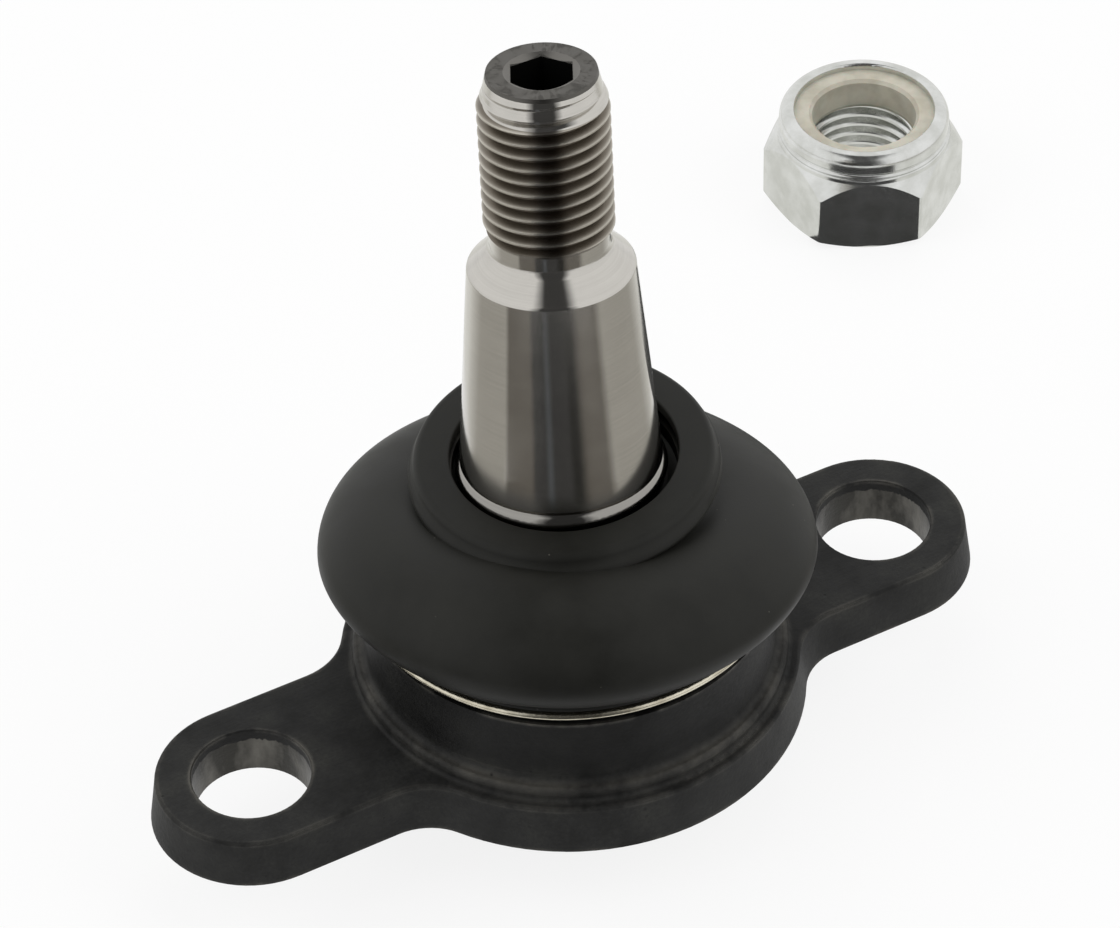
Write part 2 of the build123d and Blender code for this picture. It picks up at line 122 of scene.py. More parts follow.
@dataclass
class Surface:
    """A material's node tree while it is being dressed.

    Attributes:
        tree: The node tree.
        shader: Its Principled shader.
        place: Place on the piece in millimetres, at rest.
    """

    tree: bpy.types.NodeTree
    shader: bpy.types.Node
    place: Socket

    def add(self, kind: str, inputs: dict | None = None, stops: Sequence[tuple[float, str]] = (),
            **settings: object) -> bpy.types.Node:
        """Add a node to this surface's tree."""
        return add(self.tree, kind, inputs, stops, **settings)

    def feed(self, **sockets: Socket) -> None:
        """Link sockets into the shader's inputs, whose spaces are written as underscores."""
        for name, socket in sockets.items():
            self.tree.links.new(socket, self.shader.inputs[name.replace("_", " ")])


@dataclass(frozen=True)
class Finish:
    """A finish that can be put on any number of pieces."""

    name: ClassVar[str]
    slot: ClassVar[Slot]

    def constants(self) -> dict[str, object]:
        """Shader inputs that are the same all over the surface."""
        return {}

    def dress(self, surface: Surface) -> None:
        """Add the nodes that vary over the surface."""

    def material(self) -> bpy.types.Material:
        """Build the material.

        Returns:
            The material, with its nodes linked.
        """
        made = bpy.data.materials.new(self.name)
        made.use_nodes = True
        tree = made.node_tree
        tree.nodes.clear()
        shader = add(tree, "BsdfPrincipled", self.constants())
        add(tree, "OutputMaterial", {"Surface": shader.outputs["BSDF"]})
        where = add(tree, "TexCoord").outputs["Object"]
        place = add(tree, "VectorMath", {0: where, "Scale": 1 / MM}, operation="SCALE").outputs[0]
        self.dress(Surface(tree, shader, place))
        return made


@dataclass(frozen=True)
class BlackForging(Finish):
    """Drop-forged steel with a black phosphate coat.

    The coat is matt and dark, the forging under it is grainy and pitted. The coat is rubbed
    through to greyer steel along the edges and cut away in the drilled holes. The step round
    the hub's foot gets a painted highlight in patches of that greyer steel, and the hub wall
    above the step gets painted shade, which darkens it from the step upwards.
    """

    name: ClassVar[str] = "black_phosphated_forging"
    slot: ClassVar[Slot] = Slot.FORGING
    coat: str = "#262625"
    coat_pale: str = "#32322f"
    coat_dark: str = "#171716"
    # tone of rubbed-through edges, also used for the step's painted highlight
    worn_and_highlight: str = "#77746d"
    machined: str = "#64625d"
    unworn: str = "#3a3936"
    grain_mm: float = 0.42
    blotch_mm: float = 6.0
    pit_mm: float = 2.1
    flow_mm: tuple[float, float, float] = (5.0, 0.5, 1.2)
    wear_mm: float = 0.9
    drill_mm: tuple[float, float, float] = (5.0, 5.0, 12.0)
    hole_wall_r: float = 6.6
    hole_lip_z: float = 4.7
    step_inner_r: float = 22.9
    step_outer_r: float = 24.2
    step_low: float = 6.7
    step_high: float = 8.0
    # painted shade on the hub wall: full from this height up, at hub_shade
    hub_dark_z: float = 10.0
    hub_shade: float = 0.45
    speck_shade: tuple[float, float] = (0.72, 1.35)
    pit_reach: tuple[float, float] = (0.03, 0.16)
    edge_turn: tuple[float, float] = (0.995, 0.90)
    edge_wear: float = 0.9
    ragged_wear: float = 0.8
    # share of the step's painted highlight, in patches
    step_highlight: tuple[float, float] = (0.08, 0.5)
    lip_ragged_mm: float = 1.2
    coat_rough: tuple[float, float] = (0.5, 0.72)
    bare_rough: float = 0.4
    relief_mm: float = 0.05

    def constants(self) -> dict[str, object]:
        """Phosphate is a dull crystalline salt, so it mirrors little."""
        return {"Specular IOR Level": 0.25, "Diffuse Roughness": 0.6}

    def dress(self, surface: Surface) -> None:
        """Add grain, flow lines, pits, rubbed edges, hole walls, the step's painted highlight and the hub
        wall's painted shade.

        Args:
            surface: The tree, its shader and the place on the piece.
        """
        place = surface.place
        split = surface.add("SeparateXYZ", {0: place})
        x, y, z = split.outputs
        grain = surface.add("TexNoise", {"Vector": place, "Scale": 1 / self.grain_mm, "Detail": 5.0,
                                         "Roughness": 0.62})
        blotch = surface.add("TexNoise", {"Vector": place, "Scale": 1 / self.blotch_mm, "Detail": 4.0,
                                          "Roughness": 0.6})
        stretch = surface.add("VectorMath", {0: place, 1: tuple(1 / s for s in self.flow_mm)},
                              operation="MULTIPLY")
        flow = surface.add("TexNoise", {"Vector": stretch.outputs[0], "Scale": 1.0, "Detail": 4.0,
                                        "Roughness": 0.65})
        shade = surface.add("ValToRGB", {0: blotch.outputs["Fac"]},
                            [(0.30, self.coat_dark), (0.52, self.coat), (0.74, self.coat_pale)])
        speck = surface.add("MapRange", {0: grain.outputs["Fac"], 1: 0.35, 2: 0.75,
                                         3: self.speck_shade[0], 4: self.speck_shade[1]})
        coat = surface.add("Mix", {0: 1.0, 6: shade.outputs[0], 7: speck.outputs[0]},
                           data_type="RGBA", blend_type="MULTIPLY")
        # painted shade: the housing is painted darker from the step upwards, as under the boot
        painted_hub_shade = surface.add("MapRange", {0: z, 1: self.step_high, 2: self.hub_dark_z, 3: 1.0,
                                        4: self.hub_shade})
        coat = surface.add("Mix", {0: 1.0, 6: coat.outputs[2], 7: painted_hub_shade.outputs[0]},
                           data_type="RGBA", blend_type="MULTIPLY")

        # pits where forge oxide was pressed in
        cells = surface.add("TexVoronoi", {"Vector": place, "Scale": 1 / self.pit_mm, "Randomness": 1.0})
        rare = surface.add("MapRange", {0: blotch.outputs["Fac"], 1: 0.45, 2: 0.65,
                                        3: self.pit_reach[0], 4: self.pit_reach[1]})
        pit = surface.add("MapRange", {0: cells.outputs["Distance"], 1: 0.0, 2: rare.outputs[0],
                                       3: 1.0, 4: 0.0})

        # edges, where the bevelled normal leaves the true one
        shape = surface.add("NewGeometry")
        eased = surface.add("Bevel", {"Radius": self.wear_mm * MM}, samples=6)
        facing = surface.add("VectorMath", {0: shape.outputs["Normal"], 1: eased.outputs[0]},
                             operation="DOT_PRODUCT")
        edge = surface.add("MapRange", {0: facing.outputs["Value"], 1: self.edge_turn[0],
                                        2: self.edge_turn[1], 3: 0.0, 4: self.edge_wear})
        ragged = surface.add("MapRange", {0: blotch.outputs["Fac"], 1: 0.40, 2: 0.60, 3: 0.0,
                                          4: self.ragged_wear})
        rubbed = surface.add("Math", {0: edge.outputs[0], 1: ragged.outputs[0]}, operation="MULTIPLY")

        # drilled wall of the bolt holes
        side = surface.add("Math", {0: x}, operation="ABSOLUTE")
        across = surface.add("Math", {0: side.outputs[0], 1: BOLT_HOLE_X}, operation="SUBTRACT")
        offset = surface.add("CombineXYZ", {0: across.outputs[0], 1: y})
        reach = surface.add("VectorMath", {0: offset.outputs[0]}, operation="LENGTH")
        in_hole = surface.add("MapRange", {0: reach.outputs["Value"], 1: self.hole_wall_r,
                                           2: self.hole_wall_r - 0.05, 3: 0.0, 4: 1.0})
        lip_edge = surface.add("Math", {0: flow.outputs["Fac"], 1: self.lip_ragged_mm,
                                        2: self.hole_lip_z - self.lip_ragged_mm / 2},
                               operation="MULTIPLY_ADD")
        below_lip = surface.add("Math", {0: z, 1: lip_edge.outputs[0]}, operation="LESS_THAN")
        in_hole = surface.add("Math", {0: in_hole.outputs[0], 1: below_lip.outputs[0]},
                              operation="MULTIPLY")

        # painted highlight on the step round the hub's foot, in patches of rubbed-through steel
        flat = surface.add("CombineXYZ", {0: x, 1: y})
        radius = surface.add("VectorMath", {0: flat.outputs[0]}, operation="LENGTH")
        width = (self.step_outer_r - self.step_inner_r) / 2
        off = surface.add("Math", {0: radius.outputs["Value"], 1: self.step_inner_r + width},
                          operation="SUBTRACT")
        off = surface.add("Math", {0: off.outputs[0]}, operation="ABSOLUTE")
        centred = surface.add("MapRange", {0: off.outputs[0], 1: width * 0.2, 2: width * 1.2,
                                           3: 1.0, 4: 0.0})
        height = (self.step_high - self.step_low) / 2
        level = surface.add("Math", {0: z, 1: self.step_low + height, 2: height}, operation="COMPARE")
        on_step = surface.add("Math", {0: centred.outputs[0], 1: level.outputs[0]}, operation="MULTIPLY")
        step_highlight_patches = surface.add("MapRange", {0: blotch.outputs["Fac"], 1: 0.38, 2: 0.62,
                                          3: self.step_highlight[0], 4: self.step_highlight[1]})
        step = surface.add("Math", {0: on_step.outputs[0], 1: step_highlight_patches.outputs[0]}, operation="MULTIPLY")

        # rubbed-through edges together with the step's painted highlight
        bare_and_highlight = surface.add("Math", {0: rubbed.outputs[0], 1: step.outputs[0]}, operation="MAXIMUM")
        tone = surface.add("Mix", {0: bare_and_highlight.outputs[0], 6: coat.outputs[2], 7: linear(self.worn_and_highlight)},
                           data_type="RGBA")
        tone = surface.add("Mix", {0: pit.outputs[0], 6: tone.outputs[2], 7: linear(self.coat_dark)},
                           data_type="RGBA")
        drawn = surface.add("VectorMath", {0: place, 1: tuple(1 / s for s in self.drill_mm)},
                            operation="MULTIPLY")
        drill = surface.add("TexNoise", {"Vector": drawn.outputs[0], "Scale": 1.0, "Detail": 4.0,
                                         "Roughness": 0.6})
        drilled = surface.add("MapRange", {0: drill.outputs["Fac"], 1: 0.42, 2: 0.62, 3: 0.0, 4: 1.0})
        wall = surface.add("Mix", {0: drilled.outputs[0], 6: linear(self.unworn), 7: linear(self.machined)},
                           data_type="RGBA")
        tone = surface.add("Mix", {0: in_hole.outputs[0], 6: tone.outputs[2], 7: wall.outputs[2]},
                           data_type="RGBA")
        metal = surface.add("Math", {0: in_hole.outputs[0], 1: bare_and_highlight.outputs[0]}, operation="MAXIMUM")
        matt = surface.add("MapRange", {0: grain.outputs["Fac"], 1: 0.2, 2: 0.8,
                                        3: self.coat_rough[0], 4: self.coat_rough[1]})
        gloss = surface.add("Mix", {0: metal.outputs[0], 2: matt.outputs[0], 3: self.bare_rough},
                            data_type="FLOAT")

        # height in millimetres: grain and flow stand out, pits sink
        relief = surface.add("Math", {0: grain.outputs["Fac"], 1: self.relief_mm}, operation="MULTIPLY")
        relief = surface.add("Math", {0: flow.outputs["Fac"], 1: self.relief_mm, 2: relief.outputs[0]},
                             operation="MULTIPLY_ADD")
        relief = surface.add("Math", {0: pit.outputs[0], 1: -self.relief_mm, 2: relief.outputs[0]},
                             operation="MULTIPLY_ADD")
        bump = surface.add("Bump", {"Strength": 0.8, "Distance": MM, "Height": relief.outputs[0]})
        surface.feed(Base_Color=tone.outputs[2], Metallic=metal.outputs[0],
                     Roughness=gloss.outputs[0], Normal=bump.outputs[0])


@dataclass(frozen=True)
class GroundStud(Finish):
    """Carbon steel stud, turned, then ground on its taper.

    Grinding leaves rings too fine to see one by one, which draw each reflection out along the
    axis. The rolled thread is duller and browner, and its crests are painted lighter, partly
    burnish and partly a painted highlight. The heading tool's hex socket is painted near black,
    which is painted shade, and the stud gets painted shade below the bead, inside the collar.
    The rings are drawn coarser than the 0.02 mm of a grinding wheel, so that they show.
    """

    name: ClassVar[str] = "ground_steel_stud"
    slot: ClassVar[Slot] = Slot.STUD
    ground: str = "#c4c1bb"
    thread: str = "#6f685e"
    # crest tone: partly burnish, partly a painted highlight
    crest_highlight: str = "#bdb8ae"
    # painted shade in the hex socket
    socket_shade: str = "#121211"
    end_face: str = "#6e6c68"
    bead_s: float = 21.6
    ring_mm: float = 0.16
    thread_low: float = 50.8
    thread_high: float = 66.4
    end_s: float = 69.2
    crest_r: float = 6.9
    root_r: float = 6.1
    lead_r: float = 3.97
    socket_r: float = 3.75
    socket_low: float = 62.0
    socket_high: float = 69.15
    crown_power: float = 5.0
    lead_tone: float = 0.15
    # painted shade below the bead, inside the collar
    bead_shade_tone: float = 0.55
    satin_rough: tuple[float, float] = (0.11, 0.13)
    thread_rough: float = 0.27
    dull_rough: float = 0.55
    ring_bump: float = 0.07

    def constants(self) -> dict[str, object]:
        """Circular grinding stretches the shine along the axis."""
        return {"Metallic": 1.0, "Anisotropic": 0.85}

    def dress(self, surface: Surface) -> None:
        """Add grinding rings, the thread's tones with the crests' painted highlight, the end face, the
        socket's painted shade and the painted shade below the bead.

        Args:
            surface: The tree, its shader and the place on the piece.
        """
        place = surface.place
        start = surface.add("VectorMath", {0: place, 1: tuple(BALL_CENTRE)}, operation="SUBTRACT")
        along = surface.add("VectorMath", {0: start.outputs[0], 1: tuple(STUD_AXIS)},
                            operation="DOT_PRODUCT")
        s = along.outputs["Value"]
        onto = surface.add("VectorMath", {0: tuple(STUD_AXIS), "Scale": s}, operation="SCALE")
        out = surface.add("VectorMath", {0: start.outputs[0], 1: onto.outputs[0]}, operation="SUBTRACT")
        radius = surface.add("VectorMath", {0: out.outputs[0]}, operation="LENGTH").outputs["Value"]

        # rings: squeezed along the axis, drawn out round it
        ring_s = surface.add("Math", {0: s, 1: 1 / self.ring_mm}, operation="MULTIPLY")
        slow = surface.add("VectorMath", {0: out.outputs[0], "Scale": 0.08}, operation="SCALE")
        lift = surface.add("CombineXYZ", {2: ring_s.outputs[0]})
        where = surface.add("VectorMath", {0: slow.outputs[0], 1: lift.outputs[0]}, operation="ADD")
        rings = surface.add("TexNoise", {"Vector": where.outputs[0], "Scale": 1.0, "Detail": 3.0,
                                         "Roughness": 0.6})
        smudge = surface.add("TexNoise", {"Vector": place, "Scale": 0.28, "Detail": 4.0})

        from_neck = surface.add("MapRange", {0: s, 1: self.thread_low, 2: self.thread_low + 0.3,
                                             3: 0.0, 4: 1.0})
        to_nose = surface.add("Math", {0: s, 1: self.thread_high}, operation="LESS_THAN")
        in_thread = surface.add("Math", {0: from_neck.outputs[0], 1: to_nose.outputs[0]},
                                operation="MULTIPLY")
        # the thread is painted lighter towards its crests: partly burnish, partly a painted highlight
        high = surface.add("MapRange", {0: radius, 1: self.root_r, 2: self.crest_r, 3: 0.0, 4: 1.0})
        crown = surface.add("Math", {0: high.outputs[0], 1: self.crown_power}, operation="POWER")
        threads = surface.add("Mix", {0: crown.outputs[0], 6: linear(self.thread), 7: linear(self.crest_highlight)},
                              data_type="RGBA")
        high_up = surface.add("Math", {0: s, 1: self.end_s}, operation="GREATER_THAN")
        lead = surface.add("Math", {0: radius, 1: self.lead_r}, operation="LESS_THAN")
        lead = surface.add("Math", {0: lead.outputs[0], 1: self.lead_tone}, operation="MULTIPLY")
        kept = surface.add("Math", {0: 1.0, 1: lead.outputs[0]}, operation="SUBTRACT")
        at_end = surface.add("Math", {0: high_up.outputs[0], 1: kept.outputs[0]}, operation="MULTIPLY")
        vary = surface.add("MapRange", {0: rings.outputs["Fac"], 1: 0.2, 2: 0.8, 3: 0.94, 4: 1.05})
        patch = surface.add("MapRange", {0: smudge.outputs["Fac"], 1: 0.2, 2: 0.8, 3: 0.96, 4: 1.03})
        both = surface.add("Math", {0: vary.outputs[0], 1: patch.outputs[0]}, operation="MULTIPLY")
        ground = surface.add("Mix", {0: 1.0, 6: linear(self.ground), 7: both.outputs[0]},
                             data_type="RGBA", blend_type="MULTIPLY")
        tone = surface.add("Mix", {0: in_thread.outputs[0], 6: ground.outputs[2], 7: threads.outputs[2]},
                           data_type="RGBA")
        tone = surface.add("Mix", {0: at_end.outputs[0], 6: tone.outputs[2], 7: linear(self.end_face)},
                           data_type="RGBA")
        # painted shade: the stud is painted darker below the bead, where it sits inside the collar
        painted_bead_shade = surface.add("MapRange", {0: s, 1: self.bead_s, 2: self.bead_s + 0.8,
                                        3: self.bead_shade_tone, 4: 1.0})
        tone = surface.add("Mix", {0: 1.0, 6: tone.outputs[2], 7: painted_bead_shade.outputs[0]},
                           data_type="RGBA", blend_type="MULTIPLY")
        # painted shade: the hex socket's walls are painted near black
        inside = surface.add("Math", {0: radius, 1: self.socket_r}, operation="LESS_THAN")
        depth = (self.socket_high - self.socket_low) / 2
        deep = surface.add("Math", {0: s, 1: self.socket_low + depth, 2: depth}, operation="COMPARE")
        socket = surface.add("Math", {0: inside.outputs[0], 1: deep.outputs[0]}, operation="MULTIPLY")
        tone = surface.add("Mix", {0: socket.outputs[0], 6: tone.outputs[2], 7: linear(self.socket_shade)},
                           data_type="RGBA")
        satin = surface.add("MapRange", {0: smudge.outputs["Fac"], 1: 0.2, 2: 0.8,
                                         3: self.satin_rough[0], 4: self.satin_rough[1]})
        gloss = surface.add("Mix", {0: in_thread.outputs[0], 2: satin.outputs[0], 3: self.thread_rough},
                            data_type="FLOAT")
        dull = surface.add("Math", {0: socket.outputs[0], 1: at_end.outputs[0]}, operation="MAXIMUM")
        gloss = surface.add("Mix", {0: dull.outputs[0], 2: gloss.outputs[0], 3: self.dull_rough},
                            data_type="FLOAT")
        bump = surface.add("Bump", {"Strength": self.ring_bump, "Distance": 0.01 * MM,
                                    "Height": rings.outputs["Fac"]})
        axis = surface.add("VectorTransform", {0: tuple(STUD_AXIS)}, vector_type="VECTOR",
                           convert_from="OBJECT", convert_to="WORLD")
        surface.feed(Base_Color=tone.outputs[2], Roughness=gloss.outputs[0],
                     Normal=bump.outputs[0], Tangent=axis.outputs[0])


@dataclass(frozen=True)
class BootRubber(Finish):
    """Moulded chloroprene rubber: dull black, with a faint bloom, mould grain and dust."""

    name: ClassVar[str] = "moulded_chloroprene_rubber"
    slot: ClassVar[Slot] = Slot.RUBBER
    black: str = "#1a1a17"
    bloom: str = "#232320"
    dust: str = "#6f6c64"
    grain_mm: float = 0.3
    bloom_mm: float = 7.0
    dust_mm: float = 1.9
    dust_from: float = 0.62
    dust_cover: float = 0.5
    rough: tuple[float, float] = (0.42, 0.55)
    relief_mm: float = 0.02

    def constants(self) -> dict[str, object]:
        """Carbon-black rubber, with the low gloss of a blasted mould."""
        return {"Specular IOR Level": 0.2}

    def dress(self, surface: Surface) -> None:
        """Add bloom, mould grain and specks of dust.

        Args:
            surface: The tree, its shader and the place on the piece.
        """
        place = surface.place
        cloud = surface.add("TexNoise", {"Vector": place, "Scale": 1 / self.bloom_mm, "Detail": 5.0,
                                         "Roughness": 0.55})
        grain = surface.add("TexNoise", {"Vector": place, "Scale": 1 / self.grain_mm, "Detail": 3.0})
        tone = surface.add("ValToRGB", {0: cloud.outputs["Fac"]},
                           [(0.35, self.black), (0.7, self.bloom)])
        cells = surface.add("TexVoronoi", {"Vector": place, "Scale": 1 / self.dust_mm,
                                           "Randomness": 1.0})
        speck = surface.add("MapRange", {0: cells.outputs["Distance"], 1: 0.05, 2: 0.03, 3: 0.0, 4: 1.0})
        chance = surface.add("SeparateColor", {0: cells.outputs["Color"]})
        kept = surface.add("Math", {0: chance.outputs[0], 1: self.dust_from}, operation="GREATER_THAN")
        dusty = surface.add("Math", {0: speck.outputs[0], 1: kept.outputs[0]}, operation="MULTIPLY")
        faint = surface.add("Math", {0: dusty.outputs[0], 1: self.dust_cover}, operation="MULTIPLY")
        tone = surface.add("Mix", {0: faint.outputs[0], 6: tone.outputs[0], 7: linear(self.dust)},
                           data_type="RGBA")
        gloss = surface.add("MapRange", {0: cloud.outputs["Fac"], 1: 0.3, 2: 0.7,
                                         3: self.rough[0], 4: self.rough[1]})
        bump = surface.add("Bump", {"Strength": 0.35, "Distance": self.relief_mm * MM,
                                    "Height": grain.outputs["Fac"]})
        surface.feed(Base_Color=tone.outputs[2], Roughness=gloss.outputs[0], Normal=bump.outputs[0])


@dataclass(frozen=True)
class Metal(Finish):
    """An unplated or plated metal with mottling and fine lines.

    Attributes:
        pale: Lighter of its two tones.
        dark: Darker of its two tones.
        mottle_mm: Size of the patches between the tones.
        line_mm: Size of the finest grain.
        gloss: Lowest and highest roughness.
        relief_mm: Height of the grain.
    """

    pale: str
    dark: str
    mottle_mm: float
    line_mm: float
    gloss: tuple[float, float]
    relief_mm: float

    def constants(self) -> dict[str, object]:
        """Metal all through."""
        return {"Metallic": 1.0}

    def dress(self, surface: Surface) -> None:
        """Add the mottling and the grain.

        Args:
            surface: The tree, its shader and the place on the piece.
        """
        place = surface.place
        cloud = surface.add("TexNoise", {"Vector": place, "Scale": 1 / self.mottle_mm, "Detail": 4.0})
        grain = surface.add("TexNoise", {"Vector": place, "Scale": 1 / self.line_mm, "Detail": 3.0})
        tone = surface.add("ValToRGB", {0: cloud.outputs["Fac"]}, [(0.35, self.dark), (0.65, self.pale)])
        low, high = self.gloss
        gloss = surface.add("MapRange", {0: grain.outputs["Fac"], 1: 0.3, 2: 0.7, 3: low, 4: high})
        bump = surface.add("Bump", {"Strength": 0.3, "Distance": self.relief_mm * MM,
                                    "Height": grain.outputs["Fac"]})
        surface.feed(Base_Color=tone.outputs[0], Roughness=gloss.outputs[0], Normal=bump.outputs[0])


@dataclass(frozen=True)
class ZincPlate(Metal):
    """Bright zinc plate with a clear passivate: silvery, faintly warm and cool in patches."""

    name: ClassVar[str] = "bright_zinc_plate"
    slot: ClassVar[Slot] = Slot.ZINC
    pale: str = "#dcdddb"
    dark: str = "#c9cac6"
    mottle_mm: float = 3.0
    line_mm: float = 0.7
    gloss: tuple[float, float] = (0.16, 0.24)
    relief_mm: float = 0.02


@dataclass(frozen=True)
class SpringWire(Metal):
    """Drawn spring steel wire, oiled, so slightly straw-coloured."""

    name: ClassVar[str] = "drawn_spring_wire"
    slot: ClassVar[Slot] = Slot.WIRE
    pale: str = "#dcd6c4"
    dark: str = "#b9b29f"
    mottle_mm: float = 2.0
    line_mm: float = 0.25
    gloss: tuple[float, float] = (0.2, 0.26)
    relief_mm: float = 0.002


@dataclass(frozen=True)
class RingSteel(Metal):
    """Stamped steel ring with a thin grey oxide."""

    name: ClassVar[str] = "stamped_ring_steel"
    slot: ClassVar[Slot] = Slot.RING
    pale: str = "#353430"
    dark: str = "#1f1e1c"
    mottle_mm: float = 2.5
    line_mm: float = 0.3
    gloss: tuple[float, float] = (0.35, 0.5)
    relief_mm: float = 0.02


@dataclass(frozen=True)
class CoverSteel(Metal):
    """Cold-rolled steel disc, oiled and dull."""

    name: ClassVar[str] = "cold_rolled_cover_steel"
    slot: ClassVar[Slot] = Slot.COVER
    pale: str = "#8d8a84"
    dark: str = "#6a6762"
    mottle_mm: float = 5.0
    line_mm: float = 0.35
    gloss: tuple[float, float] = (0.35, 0.5)
    relief_mm: float = 0.02


@dataclass(frozen=True)
class Plastic(Finish):
    """A moulded or turned plastic.

    Attributes:
        tone: Main colour.
        shade: Colour in its darker patches.
        glow: Share of light that scatters inside.
        rough: Roughness.
        grain_mm: Size of the grain.
    """

    tone: str
    shade: str
    glow: float
    rough: float
    grain_mm: float

    def constants(self) -> dict[str, object]:
        """Light goes a little way in."""
        return {"Subsurface Weight": self.glow, "Subsurface Scale": 0.6 * MM, "IOR": 1.53}

    def dress(self, surface: Surface) -> None:
        """Add patches and grain.

        Args:
            surface: The tree, its shader and the place on the piece.
        """
        place = surface.place
        cloud = surface.add("TexNoise", {"Vector": place, "Scale": 0.35, "Detail": 3.0})
        grain = surface.add("TexNoise", {"Vector": place, "Scale": 1 / self.grain_mm, "Detail": 3.0})
        tone = surface.add("ValToRGB", {0: cloud.outputs["Fac"]}, [(0.35, self.shade), (0.6, self.tone)])
        gloss = surface.add("MapRange", {0: grain.outputs["Fac"], 1: 0.3, 2: 0.7,
                                         3: self.rough - 0.06, 4: self.rough + 0.06})
        bump = surface.add("Bump", {"Strength": 0.3, "Distance": 0.02 * MM,
                                    "Height": grain.outputs["Fac"]})
        surface.feed(Base_Color=tone.outputs[0], Roughness=gloss.outputs[0], Normal=bump.outputs[0])


@dataclass(frozen=True)
class InsertNylon(Plastic):
    """Natural polyamide ring: cream, slightly see-through."""

    name: ClassVar[str] = "natural_polyamide"
    slot: ClassVar[Slot] = Slot.NYLON
    tone: str = "#c6c2b3"
    shade: str = "#b4af9f"
    glow: float = 0.25
    rough: float = 0.42
    grain_mm: float = 0.3


@dataclass(frozen=True)
class RaceAcetal(Plastic):
    """Black acetal bearing shell, greased."""

    name: ClassVar[str] = "black_acetal"
    slot: ClassVar[Slot] = Slot.RACE
    tone: str = "#262624"
    shade: str = "#1a1a19"
    glow: float = 0.0
    rough: float = 0.35
    grain_mm: float = 0.4


@dataclass(frozen=True)
class Ring:
    """Ring round the boot, leaning with the stud.

    Attributes:
        centre: Its middle.
        axis: Its axis.
        radius: Its radius.
        hold: Share of its drop on the low side that the rubber under it holds back.
    """

    centre: Vector
    axis: Vector
    radius: float
    hold: float = 0.0

    def points(self, count: int) -> list[Vector]:
        """Points round the ring.

        Args:
            count: How many points.

        Returns:
            The points in metres.
        """
        across = Vector((0, 1, 0)).cross(self.axis).normalized()
        beyond = self.axis.cross(across)
        deepest = self.radius * math.hypot(self.axis.x, self.axis.y)
        made = []
        for step in range(count):
            turn = 2 * math.pi * step / count
            spoke = self.radius * (math.cos(turn) * across + math.sin(turn) * beyond)
            if spoke.z < 0:
                spoke.z += self.hold * spoke.z ** 2 / deepest
            made.append((self.centre + spoke) * MM)
        return made


@dataclass
class RingShell:
    """Closed shell made of rings round the boot, one for each point of its section.

    Attributes:
        name: Name of the piece.
        rings: Rings in order round the section.
        around: Points in each ring.
        crease: Turn of the section, in degrees, from which an edge is sharp.
    """

    name: str
    rings: list[Ring]
    around: int = 180
    crease: float = 40.0

    def build(self) -> bpy.types.Object:
        """Build the shell.

        Returns:
            Its object, linked to the scene.
        """
        points = [point for ring in self.rings for point in ring.points(self.around)]
        faces = []
        count = len(self.rings)
        for ring in range(count):
            this, following = ring * self.around, (ring + 1) % count * self.around
            for step in range(self.around):
                ahead = (step + 1) % self.around
                faces.append((this + step, this + ahead, following + ahead, following + step))
        mesh = bpy.data.meshes.new(self.name)
        mesh.from_pydata([tuple(p) for p in points], [], faces)
        mesh.validate()
        mesh.shade_smooth()
        mesh.set_sharp_from_angle(angle=math.radians(self.crease))
        made = bpy.data.objects.new(self.name, mesh)
        bpy.context.scene.collection.objects.link(made)
        return made


def arc(centre: tuple[float, float], reach: tuple[float, float], first: float, last: float,
        steps: int) -> Outline:
    """Points on part of an ellipse.

    Args:
        centre: Its centre, as radius and height.
        reach: Its two half axes.
        first: First angle in degrees.
        last: Last angle in degrees.
        steps: How many runs the arc is cut into.

    Returns:
        The points, both ends included.
    """
    points = []
    for step in range(steps + 1):
        turn = math.radians(first + (last - first) * step / steps)
        points.append((centre[0] + reach[0] * math.cos(turn), centre[1] + reach[1] * math.sin(turn)))
    return points


